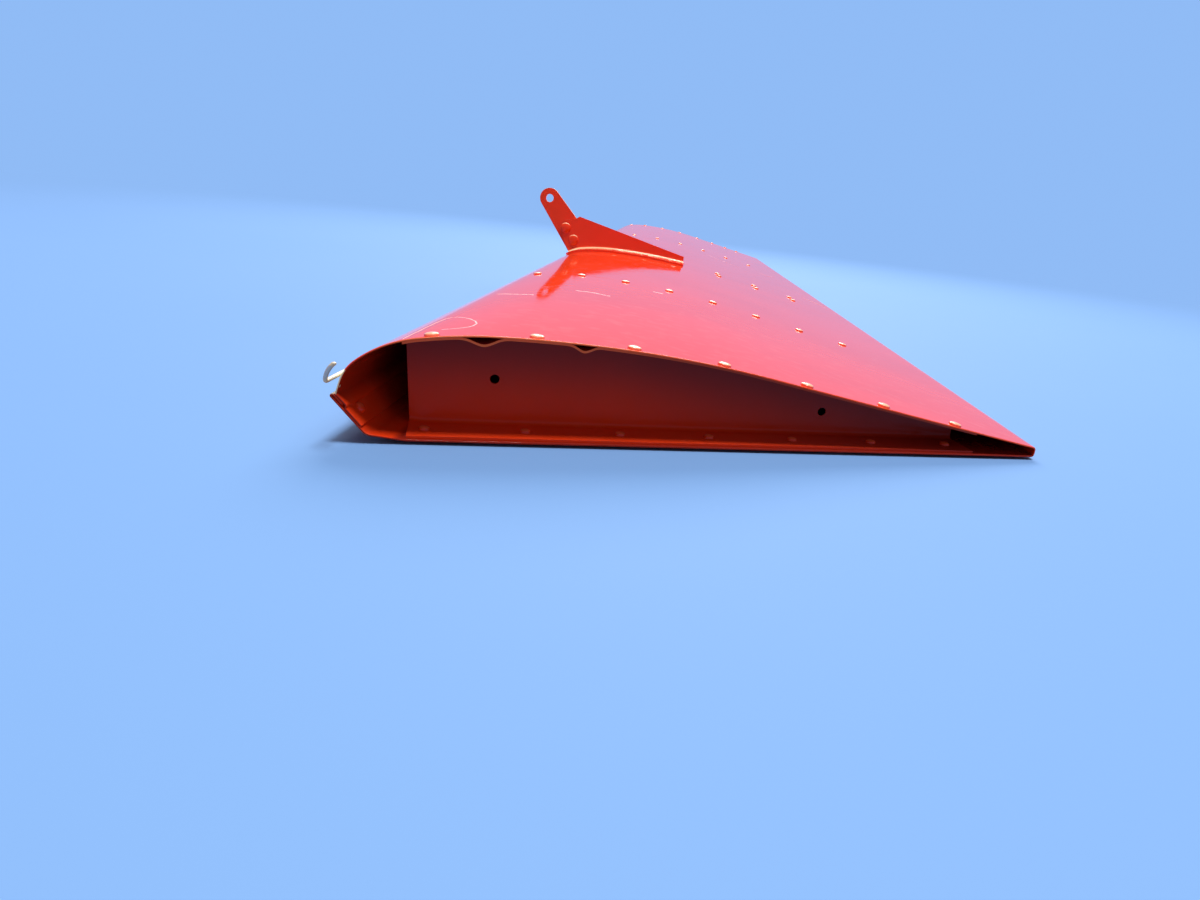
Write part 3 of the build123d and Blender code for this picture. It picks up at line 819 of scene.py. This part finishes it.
def scratch_group(core=0.35):
    """A mask along a straight mark seen from above, given where a point of the surface is.

    It is 1 up to the core share of the width from the mark's line, and 0 from the width on.
    """
    inputs = [
        ("Place", "NodeSocketVector", None),
        ("Start", "NodeSocketVector", None),
        ("End", "NodeSocketVector", None),
        ("Width", "NodeSocketFloat", 0.3 * MM),
    ]
    group, entry, result = shader_group("scratch", inputs, [("Mask", "NodeSocketFloat")])
    place, start, end, width = [entry.outputs[name] for name, _, _ in inputs]
    spot = vector(group, "SUBTRACT", place, start)
    run = vector(group, "SUBTRACT", end, start)
    spot_on_run = vector(group, "DOT_PRODUCT", spot, run, "Value")
    square = vector(group, "DOT_PRODUCT", run, run, "Value")
    share = maths(group, "DIVIDE", spot_on_run, square, clamp=True)
    off = vector(group, "DISTANCE", spot, vector(group, "SCALE", run, share), "Value")
    limits = {"Value": off, "From Min": width, "From Max": times(group, width, core)}
    mask = add(group, "ShaderNodeMapRange", limits).outputs[0]
    group.links.new(mask, result.inputs["Mask"])
    return group


PAINT_FILM = paint_film_group()
SCRATCH = scratch_group()


def smoothed(run):
    """The run with each of its corners cut off."""
    points = [run[0]]
    for (x, y), (next_x, next_y) in zip(run, run[1:]):
        points.append((0.75 * x + 0.25 * next_x, 0.75 * y + 0.25 * next_y))
        points.append((0.25 * x + 0.75 * next_x, 0.25 * y + 0.75 * next_y))
    return points + [run[-1]]


# Marks on the upper skin, as runs of (x, y) in millimetres with half widths.
LOOP_SCRATCH = [
    (18.0, -683.9), (18.0, -666.4), (18.6, -640.0), (21.5, -634.6), (27.7, -639.0), (33.4, -650.2),
    (34.0, -660.0), (30.4, -664.7), (25.7, -667.7),
]
LIGHT_MARKS = [
    (smoothed(LOOP_SCRATCH), 0.34),
    ([(21.3, -555.1), (29.3, -557.1), (37.4, -556.9)], 0.8),
    ([(53.3, -522.0), (61.0, -520.6), (69.1, -524.1)], 0.9),
    ([(89.7, -464.9), (94.2, -465.7)], 0.9),
    ([(173.8, -629.9), (176.9, -628.8)], 0.45),
]
DARK_MARKS = [
    ([(204.0, 83.3), (209.9, 70.8), (218.3, 81.8)], 1.2),
    ([(226.0, -120.0), (231.4, -129.7), (241.2, -150.3)], 1.6),
    ([(140.0, 120.0), (176.0, 60.0)], 1.0),
]
# Specks of primer inside the near end of the land, as a place and a radius in millimetres.
PRIMER_SPECKS = [((1.6, -691.4, -2.9), 0.55), ((2.4, -690.9, -0.9), 0.35)]


def marks(tree, place, runs):
    """One mask for several scratches that wander a little and break up in places."""
    wander_inputs = {"Vector": place, "Scale": 60.0, "Detail": 2.0}
    wander = add(tree, "ShaderNodeTexNoise", wander_inputs).outputs["Color"]
    wander = vector(tree, "MULTIPLY", wander, (MARK_WANDER, MARK_WANDER, 0.0))
    moved = vector(tree, "ADD", place, wander)
    moved = vector(tree, "SUBTRACT", moved, (MARK_WANDER / 2, MARK_WANDER / 2, 0.0))
    flat = vector(tree, "MULTIPLY", moved, (1.0, 1.0, 0.0))
    mask = 0.0
    for run, width in runs:
        for start, end in zip(run, run[1:]):
            node = add(tree, "ShaderNodeGroup", node_tree=SCRATCH)
            tree.links.new(flat, node.inputs["Place"])
            node.inputs["Start"].default_value = (start[0] * MM, start[1] * MM, 0)
            node.inputs["End"].default_value = (end[0] * MM, end[1] * MM, 0)
            node.inputs["Width"].default_value = width * MM
            mask = highest(tree, node.outputs[0], mask)
    return times(tree, mask, ramp(tree, grain(tree, place, scale=700.0), *MARK_GAPS))


def enamel(name, dust, gloss, peel, shine, wear_and_highlight=0.0, flats_kept=0.0, overhang_shade=0.0):
    """Glossy orange-red enamel, with its film's variation."""
    material, tree, shader = new_material(name)
    shader.inputs["Specular IOR Level"].default_value = shine
    film = add(tree, "ShaderNodeGroup", node_tree=PAINT_FILM)
    film.inputs["Dust"].default_value = dust
    film.inputs["Gloss"].default_value = gloss
    film.inputs["Wear and highlight"].default_value = wear_and_highlight
    film.inputs["Flats kept"].default_value = flats_kept
    film.inputs["Overhang shade"].default_value = overhang_shade
    bump = {"Height": film.outputs["Height"], "Strength": peel, "Distance": 0.4 * MM}
    bumped = add(tree, "ShaderNodeBump", bump).outputs[0]
    tree.links.new(film.outputs["Color"], shader.inputs["Base Color"])
    tree.links.new(film.outputs["Roughness"], shader.inputs["Roughness"])
    tree.links.new(bumped, shader.inputs["Normal"])
    return material, tree, shader, film


def shaded_parts(tree, place, normal):
    """A mask where the skin is drawn darker: inside the nose and along its low cut edges."""
    x, _, z = parts_of(tree, place)
    facing_aft, facing_far, facing_up = parts_of(tree, normal)
    inner_nose = times(
        tree,
        ramp(tree, facing_aft, *INNER_NOSE_FACING),
        ramp(tree, z, *INNER_NOSE_HEIGHT),
        ramp(tree, x, *INNER_NOSE_FRONT),
        INNER_NOSE_SHARE,
    )
    low_edge = times(
        tree,
        ramp(tree, facing_up, *LOW_EDGE_FACING),
        ramp(tree, z, *LOW_EDGE_HEIGHT),
        LOW_EDGE_SHARE,
    )
    near_cut = times(
        tree,
        ramp(tree, facing_far, *NEAR_CUT_FACING),
        ramp(tree, z, *NEAR_CUT_HEIGHT),
        ramp(tree, x, *NEAR_CUT_FRONT),
        NEAR_CUT_SHARE,
    )
    return highest(tree, inner_nose, low_edge, near_cut)


def primer_strip(tree, place, normal):
    """A mask with ragged borders on the hinge land, and on the specks of primer beside it."""
    x, _, z = parts_of(tree, place)
    facing_aft = parts_of(tree, normal)[0]
    ragged = maths(tree, "SUBTRACT", grain(tree, place, scale=300.0), 0.5)
    rear = maths(tree, "MULTIPLY_ADD", ragged, STRIP_WANDER_AFT, x)
    height = maths(tree, "MULTIPLY_ADD", ragged, STRIP_WANDER_UP, z)
    strip = times(
        tree,
        ramp(tree, rear, *STRIP_FRONT),
        ramp(tree, height, *STRIP_TOP),
        ramp(tree, height, *STRIP_FOOT),
        ramp(tree, facing_aft, *STRIP_FACING),
    )
    for spot, radius in PRIMER_SPECKS:
        middle = tuple(value * MM for value in spot)
        away = vector(tree, "DISTANCE", place, middle, "Value")
        strip = highest(tree, strip, ramp(tree, away, radius * MM, 0.7 * radius * MM))
    return strip


def skin_enamel():
    """The skin's enamel, with scratches, scuffs, and the masked strip of primer on the land."""
    material, tree, shader, film = enamel(
        "orange_red_skin", dust=0.05, gloss=0.05, peel=0.02, shine=0.13
    )
    place, normal = object_place(tree), surface_normal(tree)
    on_top = ramp(tree, parts_of(tree, place)[2], UNDERSIDE_Z - MM, UNDERSIDE_Z)
    scratched = times(tree, marks(tree, place, LIGHT_MARKS), on_top)
    scuffed = times(tree, marks(tree, place, DARK_MARKS), on_top)
    strip = primer_strip(tree, place, normal)
    colour = film.outputs["Color"]
    for mask, finish in (
        (shaded_parts(tree, place, normal), SHADED_PAINT),
        (times(tree, scuffed, SCUFF_SHARE), SCUFF),
        (times(tree, scratched, SCRATCH_SHARE), BARE_METAL),
        (strip, PRIMER),
    ):
        colour = mix_colour(tree, mask, colour, finish)
    worn = highest(tree, strip, scratched, scuffed)
    smooth = film.outputs["Roughness"]
    rough = maths(tree, "MULTIPLY_ADD", worn, WORN_ROUGHNESS, smooth, clamp=True)
    tree.links.new(colour, shader.inputs["Base Color"])
    tree.links.new(rough, shader.inputs["Roughness"])
    return material


def bare_primer():
    """Bare cream primer, chalky, with grime in patches and rubbed spots of metal."""
    material, tree, shader = new_material("cream_primer")
    place = object_place(tree)
    coarse = grain(tree, place, scale=90.0, detail=5.0)
    fine = grain(tree, place, scale=900.0, detail=4.0)
    grimy = ramp(tree, coarse, low=0.45, high=0.75)
    rubbed = ramp(tree, fine, low=0.62, high=0.75)
    colour = mix_colour(tree, grimy, PRIMER, PRIMER_GRIME)
    colour = mix_colour(tree, rubbed, colour, RUBBED_METAL)
    rough = maths(tree, "MULTIPLY_ADD", fine, 0.3, 0.35)
    bump = {"Height": fine, "Strength": 0.15, "Distance": 0.2 * MM}
    tree.links.new(colour, shader.inputs["Base Color"])
    tree.links.new(rough, shader.inputs["Roughness"])
    tree.links.new(add(tree, "ShaderNodeBump", bump).outputs[0], shader.inputs["Normal"])
    return material


def primed_wire():
    """Drawn hinge wire under a thin coat of primer that has rubbed off in places."""
    material, tree, shader = new_material("drawn_wire")
    place = object_place(tree)
    drawn_out = vector(tree, "MULTIPLY", place, (900.0, 30.0, 900.0))
    streaks = grain(tree, drawn_out, scale=1.0)
    coated = ramp(tree, grain(tree, place, scale=260.0, detail=4.0), low=0.62, high=0.5)
    colour = mix_colour(tree, coated, WIRE_METAL, WIRE_PRIMER)
    metallic = maths(tree, "MULTIPLY_ADD", coated, -0.45, 0.5, clamp=True)
    rough = maths(tree, "MULTIPLY_ADD", streaks, 0.25, 0.25)
    tree.links.new(colour, shader.inputs["Base Color"])
    tree.links.new(metallic, shader.inputs["Metallic"])
    tree.links.new(rough, shader.inputs["Roughness"])
    return material


# What the camera and reflections see round the tab, and what the floor sends back up.
SURROUNDINGS = (0.28, 0.50, 0.92, 1)
REFLECTED = (0.37, 0.43, 0.76, 1)
FLOOR_SEEN = (0.17, 0.33, 0.64, 1)
FLOOR_PATCH = (0.25, 0.41, 0.72, 1)
FLOOR_BOUNCE = (0.20, 0.19, 0.21, 1)
# The floor fades out between these distances from its centre, long before its border.
FLOOR_CENTRE = (0.1, -0.3, 0.0)
FLOOR_FADE = (0.55, 1.6)
FLOOR_HALF = 14
# The even light from all round.
WORLD_LIGHT = (1.0, 0.93, 0.95, 1)
WORLD_STRENGTH = 0.20


def shown_rays(tree):
    """1 for rays from the camera, or off gloss or through glass."""
    paths = add(tree, "ShaderNodeLightPath").outputs
    return highest(
        tree, paths["Is Camera Ray"], paths["Is Glossy Ray"], paths["Is Transmission Ray"]
    )


def surroundings(tree):
    """The surroundings' colour, a little greyer in reflections."""
    gloss = add(tree, "ShaderNodeLightPath").outputs["Is Glossy Ray"]
    return mix_colour(tree, gloss, SURROUNDINGS, REFLECTED)


def pale_floor():
    """Matt pale floor that fades into the surroundings, and sends little light back up."""
    material, tree, shader = new_material("pale_floor")
    place = object_place(tree)
    shown = shown_rays(tree)
    mottled = times(tree, grain(tree, place, scale=3.0), FLOOR_MOTTLE_SHARE)
    seen = mix_colour(tree, mottled, FLOOR_SEEN, FLOOR_PATCH)
    tree.links.new(mix_colour(tree, shown, FLOOR_BOUNCE, seen), shader.inputs["Base Color"])
    shader.inputs["Roughness"].default_value = 0.7
    shader.inputs["Specular IOR Level"].default_value = 0.1
    away = vector(tree, "DISTANCE", place, FLOOR_CENTRE, "Value")
    faded = times(tree, ramp(tree, away, *FLOOR_FADE), shown)
    beyond = add(tree, "ShaderNodeEmission", {"Color": surroundings(tree), "Strength": 1.0})
    blend = {0: faded, 1: shader.outputs[0], 2: beyond.outputs[0]}
    blended = add(tree, "ShaderNodeMixShader", blend).outputs[0]
    output = next(node for node in tree.nodes if node.type == "OUTPUT_MATERIAL")
    tree.links.new(blended, output.inputs["Surface"])
    return material


def light_surroundings():
    """The world: a dim even light, and the surroundings' colour where it is seen."""
    world = bpy.data.worlds.new("pale_surroundings")
    bpy.context.scene.world = world
    world.use_nodes = True
    tree = world.node_tree
    tree.nodes.clear()
    seen = {"Color": surroundings(tree), "Strength": 1.0}
    lit = {"Color": WORLD_LIGHT, "Strength": WORLD_STRENGTH}
    seen_world = add(tree, "ShaderNodeBackground", seen).outputs[0]
    lit_world = add(tree, "ShaderNodeBackground", lit).outputs[0]
    blend = {0: shown_rays(tree), 1: lit_world, 2: seen_world}
    blended = add(tree, "ShaderNodeMixShader", blend).outputs[0]
    add(tree, "ShaderNodeOutputWorld", {"Surface": blended})


SKIN_ENAMEL = skin_enamel()
# The ribs take painted shade under the upper skin.
RIB_ENAMEL = enamel(
    "orange_red_rib", dust=0.02, gloss=0.16, peel=0.06, shine=0.12, overhang_shade=0.75
)[0]
# A duller copy of the rivet enamel for rows in shade: painted shade.
SHADED_ROW_ENAMEL = enamel(
    "orange_red_shaded_rows", dust=0.0, gloss=0.12, peel=0.02, shine=0.2, wear_and_highlight=0.10
)[0]
# The horn's bends take a pale painted highlight; its level faces stay out.
HORN_ENAMEL = enamel(
    "orange_red_horn", dust=0.02, gloss=0.10, peel=0.05, shine=0.2, wear_and_highlight=1.0, flats_kept=1.0
)[0]
# Rivet crowns are painted pale: partly wear, partly a painted highlight.
RIVET_ENAMEL = enamel(
    "orange_red_rivet", dust=0.0, gloss=0.10, peel=0.02, shine=0.5, wear_and_highlight=0.65
)[0]
PRIMER_COAT = bare_primer()
WIRE_COAT = primed_wire()


def finish_piece(piece, node, material):
    piece.data.materials.clear()
    piece.data.materials.append(material)
    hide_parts(node)
    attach(piece, BODY)


RIBS = [
    "near_end_rib", "second_rib", "horn_rib_front", "horn_rib_rear", "outer_rib", "far_end_rib",
]
RIVET_ROWS = [
    "bracket_rivets", "near_rib_upper_rivets", "second_rib_upper_rivets", "horn_rib_upper_rivets",
    "outer_rib_upper_rivets", "far_rib_upper_rivets", "near_rib_lower_rivets",
    "second_rib_lower_rivets", "horn_rib_lower_rivets", "outer_rib_lower_rivets",
    "far_rib_lower_rivets", "nose_seam_rivets",
]
# Rows under the skin or inside its near end. They take a duller copy of the rivet enamel, with
# less painted highlight, as painted shade.
SHADED_ROWS = ["near_rib_lower_rivets", "nose_seam_rivets"]

finish_piece(make_skin(), "skin", SKIN_ENAMEL)
for rib in RIBS:
    finish_piece(softened(rib, rib + "_sheet", RIB_ROUNDING), rib, RIB_ENAMEL)
bracket = softened("horn_bracket", "horn_bracket_sheet", BRACKET_ROUNDING)
finish_piece(bracket, "horn_bracket", HORN_ENAMEL)
arm = softened("horn_arm", "horn_arm_plate", ARM_ROUNDING, segments=3)
finish_piece(arm, "horn_arm", HORN_ENAMEL)
finish_piece(make_arm_rivets(), "arm_rivets", HORN_ENAMEL)
finish_piece(make_hinge_half(), "hinge_half", PRIMER_COAT)
finish_piece(make_wire(), "hinge_pin", WIRE_COAT)
for row in RIVET_ROWS:
    row_enamel = SHADED_ROW_ENAMEL if row in SHADED_ROWS else RIVET_ENAMEL
    finish_piece(make_heads(row), row, row_enamel)
finish_piece(make_heads("hinge_rivets"), "hinge_rivets", PRIMER_COAT)

floor_z = cad_box[0][2]
signs = [(-1, -1), (1, -1), (1, 1), (-1, 1)]
corners = [(x * FLOOR_HALF, y * FLOOR_HALF, floor_z) for x, y in signs]
floor = make_object("floor", corners, [(0, 1, 2, 3)])
floor.data.materials.append(pale_floor())
light_surroundings()


def lamp(name, place, target, size, power, colour):
    light = bpy.data.lights.new(name, "AREA")
    light.shape = "DISK"
    light.size = size
    light.energy = power
    light.color = colour
    holder = bpy.data.objects.new(name, light)
    holder.location = place
    aim = Vector(target) - Vector(place)
    holder.rotation_euler = aim.to_track_quat("-Z", "Y").to_euler()
    bpy.context.scene.collection.objects.link(holder)


# The photograph's light seems to fall from overhead and from beyond the far end.
lamp(
    "overhead", place=(0.3, -0.85, 3.0), target=(0.1, -0.5, 0),
    size=0.9, power=94, colour=(1.0, 0.98, 0.95),
)
lamp(
    "rear", place=(0.2, 1.9, 1.9), target=(0.1, 0, 0),
    size=2.2, power=88, colour=(1.0, 0.96, 0.90),
)

# The photograph's view, for an image of 1200 by 900 pixels.
CAMERA_PLACE = Vector((94.36, -935.70, 60.82)) * MM
CAMERA_RIGHT = Vector((0.99060282, 0.08342634, 0.10837943))
CAMERA_DOWN = Vector((0.1276112, -0.27867696, -0.95186897))
FOCAL_PIXELS = 850
IMAGE_WIDTH = 1200
SENSOR = 36.0
view = bpy.data.cameras.new("photo_view")
view.sensor_fit = "HORIZONTAL"
view.sensor_width = SENSOR
view.lens = FOCAL_PIXELS / IMAGE_WIDTH * SENSOR
view.clip_start = 10 * MM
camera = bpy.data.objects.new("photo_view", view)
forward = CAMERA_RIGHT.cross(CAMERA_DOWN)
basis = Matrix((CAMERA_RIGHT, -CAMERA_DOWN, -forward)).transposed()
camera.matrix_world = Matrix.Translation(CAMERA_PLACE) @ basis.to_4x4()
bpy.context.scene.collection.objects.link(camera)
bpy.context.scene.camera = camera
bpy.context.scene.view_settings.view_transform = "Standard"
